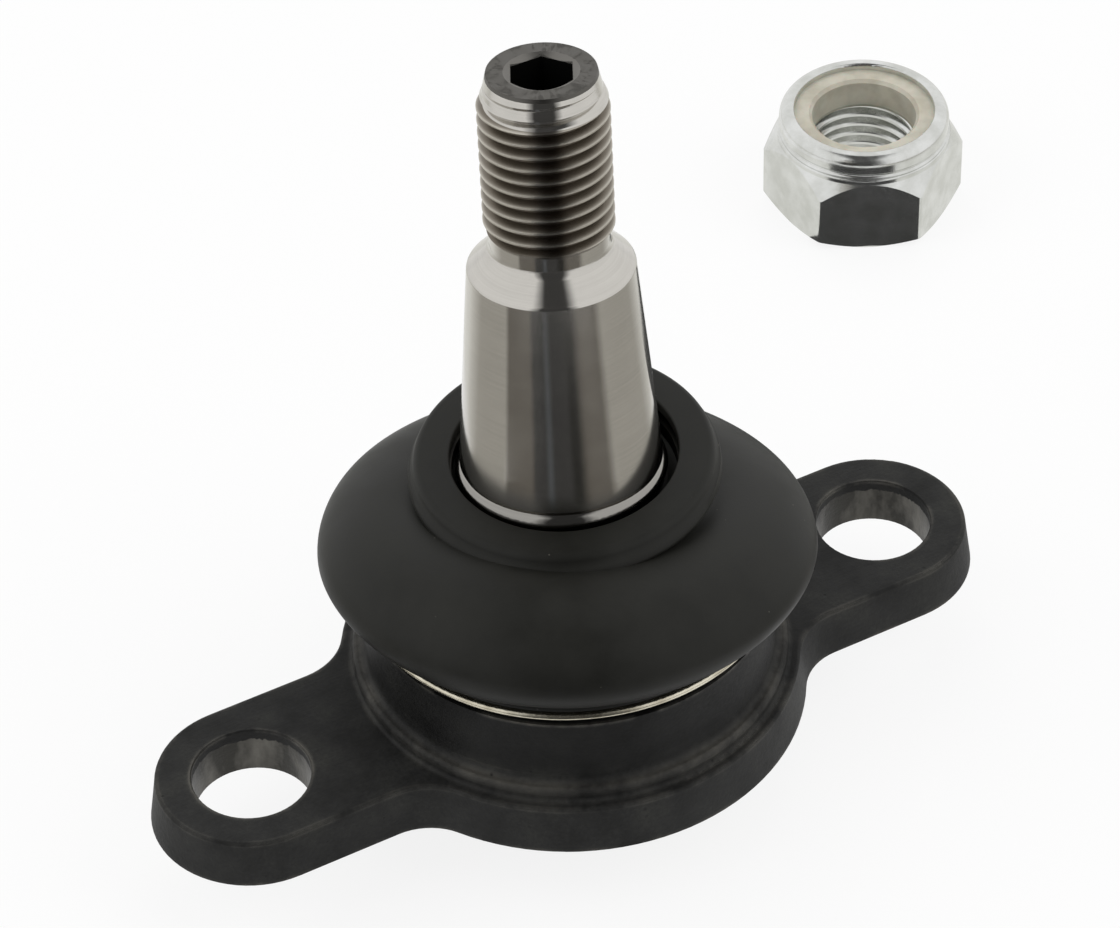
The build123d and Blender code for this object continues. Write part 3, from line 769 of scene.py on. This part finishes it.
@dataclass
class Boot:
    """Rubber boot: a bulge in two parts, and a collar that goes with the stud.

    Heights are above the mounting face, in millimetres. Leans are the slopes of a ring's axis
    towards +X and +Y.
    """

    groove_r: float = 20.9
    groove_low: float = 16.4
    lip_r: float = 22.3
    lip_chamfer: float = 0.3
    bead_r: float = 23.4
    bead_z: tuple[float, float] = (19.1, 19.9)
    heel_r: float = 22.9
    heel_z: float = 19.4
    throat_r: float = 21.75
    throat_rise: float = 1.4
    bulge_r: float = 27.2
    bulge_z: float = 21.0
    bulge_lean: tuple[float, float] = (0.076, 0.144)
    hold: float = 0.7
    crown_r: float = 16.5
    crown_z: float = 27.3
    crown_lean: tuple[float, float] = (0.109, 0.150)
    wall: float = 1.9
    seam_angle: float = 34.0
    seam_step: float = 0.1
    neck_r: float = 15.0
    collar_low: float = 29.4
    collar_top: float = 31.95
    collar_r: float = 16.41
    collar_foot_r: float = 17.0
    collar_edge: float = 0.85
    collar_lean: tuple[float, float] = (-0.038, -0.001)
    bore_r: float = 12.4
    bore_edge: float = 0.25
    shift: tuple[float, float] = (1.44, 2.94)
    web_s: tuple[float, float] = (15.3, 16.3)
    web_r: float = 7.7
    material: bpy.types.Material | None = None

    def slope_at(self, radius: float, z: float) -> Vector:
        """Slope of a ring's axis, which grows from the heel to the crown and dies at the collar.

        Args:
            radius: The ring's radius.
            z: Its height.

        Returns:
            Slopes towards +X and +Y.
        """
        if z <= self.bulge_z:
            out = min(1.0, max(0.0, (radius - self.heel_r) / (self.bulge_r - self.heel_r)))
            return Vector(self.bulge_lean) * (math.asin(out) * 2 / math.pi) ** 1.5
        if z <= self.crown_z:
            share = (z - self.bulge_z) / (self.crown_z - self.bulge_z)
            return Vector(self.bulge_lean).lerp(Vector(self.crown_lean), share)
        share = min(1.0, (z - self.crown_z) / (self.collar_low - self.crown_z))
        return Vector(self.crown_lean).lerp(Vector(self.collar_lean), share)

    def centre_at(self, z: float) -> Vector:
        """Middle of the boot's ring at a height, which moves over to the stud's neck."""
        share = max(0.0, (z - self.heel_z) / (self.collar_top - self.heel_z))
        return Vector((self.shift[0] * share, self.shift[1] * share, z))

    def ring(self, radius: float, z: float) -> Ring:
        """Ring of the boot, which holds back its drop less and less up to the seam.

        Args:
            radius: Its radius.
            z: Its height.

        Returns:
            The ring, leaning as the boot does there.
        """
        slope = self.slope_at(radius, z)
        rise = min(1.0, max(0.0, (z - self.bulge_z) / (self.seam_z() - self.bulge_z)))
        return Ring(self.centre_at(z), Vector((slope.x, slope.y, 1.0)).normalized(), radius,
                    self.hold * (1 - rise))

    def stud_ring(self, radius: float, s: float) -> Ring:
        """Ring on the stud's own axis, at a distance from the ball's centre."""
        return Ring(BALL_CENTRE + STUD_AXIS * s, STUD_AXIS, radius)

    def seam_z(self) -> float:
        """Height at which the bulge's two parts meet."""
        return self.bulge_z + (self.crown_z - self.bulge_z) * math.sin(math.radians(self.seam_angle))

    def bulge_outer(self) -> tuple[tuple[float, float], tuple[float, float]]:
        """Centre and half axes of the bulge's outside, above its widest ring."""
        return (self.crown_r, self.bulge_z), (self.bulge_r - self.crown_r, self.crown_z - self.bulge_z)

    def bulge_inner(self) -> tuple[tuple[float, float], tuple[float, float]]:
        """Centre and half axes of the bulge's inside."""
        centre, reach = self.bulge_outer()
        return centre, (reach[0] - self.wall, reach[1] - self.wall)

    def lower_outline(self) -> Outline:
        """Section of the lip, the bead over the wire and the bulge up to the seam.

        Returns:
            Radius and height of its points, ending at the groove. The wall behind the bulge,
            which nothing shows, is one straight run from the seam to the throat.
        """
        inner, seam, cut = self.groove_r, self.seam_angle, self.lip_chamfer
        low, (bead_low, bead_high) = self.groove_low, self.bead_z
        points = [(inner, low), (self.lip_r - cut, low), (self.lip_r, low + cut), (self.lip_r, bead_low)]
        half = (bead_high - bead_low) / 2
        points += arc((self.bead_r - half, bead_low + half), (half, half), -90, 80, 10)
        under = (self.bulge_r - self.heel_r, self.bulge_z - bead_high - 0.1)
        points += arc((self.heel_r, self.bulge_z), under, -88, 0, 24)
        points += arc(*self.bulge_outer(), 0, seam, 24)[1:]
        points[-1:] = arc(*self.bulge_outer(), seam - self.seam_step, seam, 1)
        points += arc(*self.bulge_inner(), seam, seam - self.seam_step, 1)
        points += [(self.throat_r, self.heel_z + self.throat_rise), (self.throat_r, self.heel_z),
                   (inner, self.heel_z)]
        return points

    def upper_outline(self) -> Outline:
        """Section of the bulge from the seam to the neck under the collar.

        Returns:
            Radius and height of its points, up the outside and back down the inside.
        """
        seam, inner_r = self.seam_angle, self.neck_r - self.wall + 0.4
        points = arc(*self.bulge_outer(), seam, seam + self.seam_step, 1)
        points += arc(*self.bulge_outer(), seam, 90, 32)[1:]
        points += arc((self.crown_r, self.crown_z + 1.0), (self.crown_r - self.neck_r, 1.0), -100, -180, 8)
        points += [(self.neck_r, self.collar_low), (inner_r, self.collar_low),
                   (inner_r, self.crown_z - 0.9)]
        points += arc(*self.bulge_inner(), 78, seam, 20)
        return points

    def collar_rings(self) -> list[Ring]:
        """Rings of the collar, its bore and the seal web that closes on the stud's neck.

        Returns:
            The rings in order round the section.
        """
        low, top, out, bore = self.collar_low, self.collar_top, self.collar_r, self.bore_r
        foot, edge, step_z = self.collar_foot_r, self.collar_edge, (low + top) / 2
        points = [(self.neck_r - 1.0, low), (foot - 1.3, low)]
        points += arc((foot - 0.5, low + 0.55), (0.5, 0.5), -80, 15, 8)
        points += [(foot - 0.14, step_z - 0.1), (foot - 0.3, step_z)]
        points += arc((out - edge, top - edge), (edge, edge), 5, 90, 10)
        lip = self.bore_edge
        points += arc((bore + lip, top - lip), (lip, lip), 90, 180, 6)
        points += [(bore, low + 1.6), (bore + 0.9, low + 1.5), (bore + 0.9, low - 0.5)]
        rings = [self.ring(r, z) for r, z in points]
        rings += [self.stud_ring(self.web_r, self.web_s[1]), self.stud_ring(self.web_r, self.web_s[0])]
        rings += [self.ring(self.neck_r - 1.0, low - 1.6)]
        return rings

    def build(self) -> None:
        """Build the three pieces, set the bulge's two parts in place and hang the collar on its body."""
        lower = RingShell("boot_bulge_lower", [self.ring(*p) for p in self.lower_outline()]).build()
        upper = RingShell("boot_bulge_upper", [self.ring(*p) for p in self.upper_outline()]).build()
        collar = RingShell("boot_collar_lip", self.collar_rings()).build()
        for piece in (lower, upper, collar):
            piece.data.materials.append(self.material)
            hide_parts("boot")
        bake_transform(lower)
        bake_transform(upper)
        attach(collar, "boot_collar")
        log.info("boot: lower bulge %d, upper bulge %d and collar %d points",
                 len(lower.data.vertices), len(upper.data.vertices), len(collar.data.vertices))


@dataclass
class SteelParts:
    """Pieces whose shape is the solid model's own, and which only need their finish."""

    finishes: dict[str, Finish] = field(default_factory=lambda: {
        "forged_housing": BlackForging(), "upper_race": RaceAcetal(), "lower_race": RaceAcetal(),
        "cover_plate": CoverSteel(), "ball_stud": GroundStud(), "clamp_ring": SpringWire(),
        "seal_ring": RingSteel(), "lock_nut": ZincPlate(), "lock_insert": InsertNylon()})

    def build(self) -> None:
        """Put each piece's finish on it."""
        made: dict[Finish, bpy.types.Material] = {}
        for node, finish in self.finishes.items():
            if finish not in made:
                made[finish] = finish.material()
            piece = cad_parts[node]
            piece.data.materials.clear()
            piece.data.materials.append(made[finish])
            log.info("%s: %s, slot %s", node, finish.name, finish.slot.value)


class Tone(Enum):
    """Colours of the cards and strips that stand round the joint."""

    WHITE = "#f0f0ec"
    PALE = "#b8b6b0"
    BROWN = "#706c66"
    COOL = "#606468"
    SLATE = "#484848"
    BLACK = "#343432"


def only_reflected(card: bpy.types.Object, place: tuple[float, float, float]) -> bpy.types.Object:
    """Place a card, facing the camera's side, where nothing but reflections sees it.

    Args:
        card: Its object.
        place: Where its origin goes, in millimetres.

    Returns:
        The same object.
    """
    card.location = Vector(place) * MM
    card.rotation_euler = (0.0, 0.0, CAMERA_SIDE)
    bpy.context.scene.collection.objects.link(card)
    card.visible_camera = card.visible_diffuse = card.visible_shadow = False
    card.visible_transmission = card.visible_volume_scatter = False
    return card


@dataclass
class Flag:
    """Card that only reflections see, lying on the floor.

    Attributes:
        name: Its name.
        tones: Azimuth in degrees from the camera's side, and its colour in a reflection there.
        middle: Point of the floor that it goes round.
        near: Distance of its inner edge.
        far: Distance of its outer edge.
        lift: Its height over the floor.
        steps: How many flat parts it has round the middle.
    """

    name: str
    tones: tuple[tuple[float, Tone], ...]
    middle: tuple[float, float] = (1.5, 4.0)
    near: float = 70.0
    far: float = 250.0
    lift: float = 0.15
    steps: int = 24

    def material(self) -> bpy.types.Material:
        """Build its glow, whose colour goes round with the azimuth.

        Returns:
            The material.
        """
        made = bpy.data.materials.new(self.name)
        made.use_nodes = True
        tree = made.node_tree
        tree.nodes.clear()
        split = add(tree, "SeparateXYZ", {0: add(tree, "TexCoord").outputs["Object"]})
        turn = add(tree, "Math", {0: split.outputs[1], 1: split.outputs[0]}, operation="ARCTAN2")
        first, last = self.tones[0][0], self.tones[-1][0]
        share = add(tree, "MapRange", {0: turn.outputs[0], 1: math.radians(first), 2: math.radians(last)})
        stops = [((azimuth - first) / (last - first), tone.value) for azimuth, tone in self.tones]
        shade = add(tree, "ValToRGB", {0: share.outputs[0]}, stops)
        glow = add(tree, "Emission", {"Color": shade.outputs[0], "Strength": 1.0})
        add(tree, "OutputMaterial", {"Surface": glow.outputs[0]})
        return made

    def build(self) -> bpy.types.Object:
        """Build the card.

        Returns:
            Its object, hidden from everything but reflections.
        """
        first, last = self.tones[0][0], self.tones[-1][0]
        corners = []
        for step in range(self.steps + 1):
            turn = math.radians(first + (last - first) * step / self.steps)
            way = Vector((math.cos(turn), math.sin(turn), 0.0))
            corners += [way * self.near, way * self.far]
        faces = [(2 * step, 2 * step + 1, 2 * step + 3, 2 * step + 2) for step in range(self.steps)]
        mesh = bpy.data.meshes.new(self.name)
        mesh.from_pydata([tuple(c * MM) for c in corners], [], faces)
        mesh.materials.append(self.material())
        return only_reflected(bpy.data.objects.new(self.name, mesh), (*self.middle, FLOOR_Z + self.lift))


@dataclass
class Banner:
    """Dark strip that only reflections see, laid on the floor, hung up and drawn back overhead.

    Attributes:
        tone: Its colour in a reflection.
        core: Half the width of its dark middle.
        side: Half its width, where it has faded to white.
        start: Where it starts, in front of the joint.
        front: How far in front of the joint it hangs.
        rise: Height that it is drawn back at.
        back: How far behind the joint it ends.
        shift: How far it hangs to the right.
    """

    name: ClassVar[str] = "banner_overhead"
    tone: Tone = Tone.SLATE
    core: float = 150.0
    side: float = 300.0
    start: float = 250.0
    front: float = 450.0
    rise: float = 800.0
    back: float = 260.0
    shift: float = 14.0

    def build(self) -> bpy.types.Object:
        """Build the strip.

        Returns:
            Its object, hidden from everything but reflections.
        """
        outline = [(self.start, 0.0), (self.front, 0.0), (self.front, self.rise), (-self.back, self.rise)]
        corners = [(x * MM, y * MM, z * MM) for x, z in outline for y in (-self.side, self.side)]
        mesh = bpy.data.meshes.new(self.name)
        mesh.from_pydata(corners, [], [(i, i + 1, i + 3, i + 2) for i in (0, 2, 4)])
        made = bpy.data.materials.new(self.name)
        made.use_nodes = True
        tree = made.node_tree
        tree.nodes.clear()
        split = add(tree, "SeparateXYZ", {0: add(tree, "TexCoord").outputs["Object"]})
        off = add(tree, "Math", {0: split.outputs[1]}, operation="ABSOLUTE")
        fade = add(tree, "MapRange", {0: off.outputs[0], 1: self.core * MM, 2: self.side * MM})
        shade = add(tree, "Mix", {0: fade.outputs[0], 6: linear(self.tone.value), 7: linear(PURE_WHITE)},
                    data_type="RGBA")
        glow = add(tree, "Emission", {"Color": shade.outputs[2], "Strength": 1.0})
        add(tree, "OutputMaterial", {"Surface": glow.outputs[0]})
        mesh.materials.append(made)
        turned = Vector((-math.sin(CAMERA_SIDE), math.cos(CAMERA_SIDE))) * self.shift
        return only_reflected(bpy.data.objects.new(self.name, mesh), (*turned, FLOOR_Z + 0.2))


@dataclass
class SoftBox:
    """Square area lamp that points at the joint.

    Attributes:
        name: Its name.
        azimuth: Where it stands, in degrees from the camera's side.
        elevation: Its height in degrees.
        radiance: How bright its face is, where 1 is white.
        size: Its side in metres.
        distance: How far off it stands, in metres.
    """

    name: str
    azimuth: float
    elevation: float
    radiance: float
    size: float = 0.55
    distance: float = 0.7

    def build(self) -> None:
        """Build the lamp."""
        turn, rise = CAMERA_SIDE + math.radians(self.azimuth), math.radians(self.elevation)
        way = Vector((math.cos(turn) * math.cos(rise), math.sin(turn) * math.cos(rise), math.sin(rise)))
        lamp = bpy.data.lights.new(self.name, "AREA")
        lamp.shape, lamp.size = "SQUARE", self.size
        lamp.energy = self.radiance * math.pi * self.size ** 2
        made = bpy.data.objects.new(self.name, lamp)
        made.location = way * self.distance
        made.rotation_mode = "QUATERNION"
        made.rotation_quaternion = way.to_track_quat("Z", "Y")
        made.visible_glossy = False  # the surroundings give the shine
        bpy.context.scene.collection.objects.link(made)


@dataclass
class Studio:
    """White floor and surroundings, soft lamps, and the cards that the steel mirrors."""

    floor_reach: float = 6.0
    floor_colour: str = "#f4f4f4"
    floor_shadow: float = 0.14
    ambient: float = 0.55
    lamps: tuple[SoftBox, ...] = (
        SoftBox("softbox_left", -80, 42, 1.5), SoftBox("softbox_right", 80, 42, 1.5),
        SoftBox("softbox_rear", 180, 55, 1.1))
    flags: tuple[Flag, ...] = (
        Flag("flag_left", ((-170, Tone.WHITE), (-130, Tone.WHITE), (-100, Tone.PALE), (-60, Tone.PALE))),
        Flag("flag_front", (
            (-60, Tone.PALE), (-55, Tone.BROWN), (-30, Tone.BROWN), (-25, Tone.SLATE), (-15, Tone.SLATE),
            (-10, Tone.COOL), (-5, Tone.SLATE), (10, Tone.SLATE), (15, Tone.BLACK), (20, Tone.BLACK),
            (30, Tone.BROWN), (50, Tone.BROWN), (60, Tone.PALE)), near=100.0),
        Flag("flag_right", ((60, Tone.PALE), (110, Tone.PALE), (140, Tone.WHITE), (170, Tone.WHITE))),
        Flag("flag_neck", ((-30, Tone.WHITE), (-15, Tone.SLATE), (20, Tone.SLATE), (35, Tone.WHITE)),
             near=50.0, far=100.0),
        Flag("flag_nut", ((-40, Tone.SLATE), (30, Tone.SLATE)), middle=(79.3, 65.7), near=11.05, far=40.0,
             lift=0.22))
    banner: Banner = field(default_factory=Banner)

    def seen(self, tree: bpy.types.NodeTree) -> Socket:
        """Tell apart the rays that show the surroundings from those that light the joint.

        Args:
            tree: Node tree that gets the nodes.

        Returns:
            One for rays of the camera, reflections and glass, nought for scattered light.
        """
        path = add(tree, "LightPath")
        ray = add(tree, "Math", {0: path.outputs["Is Camera Ray"], 1: path.outputs["Is Glossy Ray"]},
                  operation="MAXIMUM")
        return add(tree, "Math", {0: ray.outputs[0], 1: path.outputs["Is Transmission Ray"]},
                   operation="MAXIMUM").outputs[0]

    def build_world(self) -> None:
        """White where it is seen, plain grey as a source of light."""
        world = bpy.data.worlds.new("surroundings")
        world.use_nodes = True
        tree = world.node_tree
        tree.nodes.clear()
        strength = add(tree, "MapRange", {0: self.seen(tree), 3: self.ambient, 4: 1.0})
        glow = add(tree, "Background", {"Color": linear(PURE_WHITE), "Strength": strength.outputs[0]})
        add(tree, "OutputWorld", {"Surface": glow.outputs[0]})
        bpy.context.scene.world = world

    def build_floor(self) -> None:
        """Pale floor that keeps the object's shadow and is white to the camera."""
        reach = self.floor_reach
        mesh = bpy.data.meshes.new("floor")
        corners = [(x * reach, y * reach, FLOOR_Z * MM) for x, y in ((-1, -1), (1, -1), (1, 1), (-1, 1))]
        mesh.from_pydata(corners, [], [(0, 1, 2, 3)])
        material = bpy.data.materials.new("white_floor")
        material.use_nodes = True
        tree = material.node_tree
        tree.nodes.clear()
        matt = add(tree, "BsdfDiffuse", {"Color": linear(self.floor_colour)})
        white = add(tree, "Emission", {"Color": linear(PURE_WHITE), "Strength": 1.0})
        share = add(tree, "MapRange", {0: self.seen(tree), 3: 0.0, 4: 1.0 - self.floor_shadow})
        both = add(tree, "MixShader", {0: share.outputs[0], 1: matt.outputs[0], 2: white.outputs[0]})
        add(tree, "OutputMaterial", {"Surface": both.outputs[0]})
        mesh.materials.append(material)
        floor = bpy.data.objects.new("floor", mesh)
        bpy.context.scene.collection.objects.link(floor)

    def build(self) -> None:
        """Build the floor, the surroundings, the lamps and the flags."""
        self.build_world()
        self.build_floor()
        for lamp in self.lamps:
            lamp.build()
        for card in (*self.flags, self.banner):
            card.build()
        bpy.context.scene.view_settings.view_transform = "Standard"
        log.info("studio: %d lamps, %d flags and a banner", len(self.lamps), len(self.flags))


@dataclass
class Camera:
    """Camera of the main view.

    Attributes:
        place: Its place in millimetres.
        azimuth: Direction that it stands in, in degrees.
        elevation: Its height in degrees.
        roll: Turn about its own line of sight, in degrees.
        lens: Focal length in millimetres.
        sensor: Width of its sensor in millimetres.
        clip: Nearest and farthest distance that it sees, in metres.
    """

    place: tuple[float, float, float] = (-178.38, -331.86, 376.23)
    azimuth: float = -28.17
    elevation: float = 42.34
    roll: float = -1.58
    lens: float = 153.1
    sensor: float = 36.0
    clip: tuple[float, float] = (0.01, 20.0)

    def build(self) -> None:
        """Build the camera and make it the scene's own."""
        turn, rise = math.radians(self.azimuth), math.radians(self.elevation)
        back = Vector((math.sin(turn) * math.cos(rise), -math.cos(turn) * math.cos(rise), math.sin(rise)))
        right = Vector((math.cos(turn), math.sin(turn), 0.0))
        frame_axes = Matrix((right, back.cross(right), back)).transposed()
        lens = bpy.data.cameras.new("camera")
        lens.lens, lens.sensor_width, lens.sensor_fit = self.lens, self.sensor, "HORIZONTAL"
        lens.clip_start, lens.clip_end = self.clip
        made = bpy.data.objects.new("camera", lens)
        turned = frame_axes @ Matrix.Rotation(math.radians(self.roll), 3, "Z")
        made.matrix_world = Matrix.Translation(Vector(self.place) * MM) @ turned.to_4x4()
        bpy.context.scene.collection.objects.link(made)
        bpy.context.scene.camera = made


def main() -> None:
    """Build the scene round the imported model."""
    logging.basicConfig(level=logging.INFO, format="%(message)s")
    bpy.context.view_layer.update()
    Camera().build()
    Studio().build()
    SteelParts().build()
    Boot(material=BootRubber().material()).build()


if __name__ == "__main__":
    main()
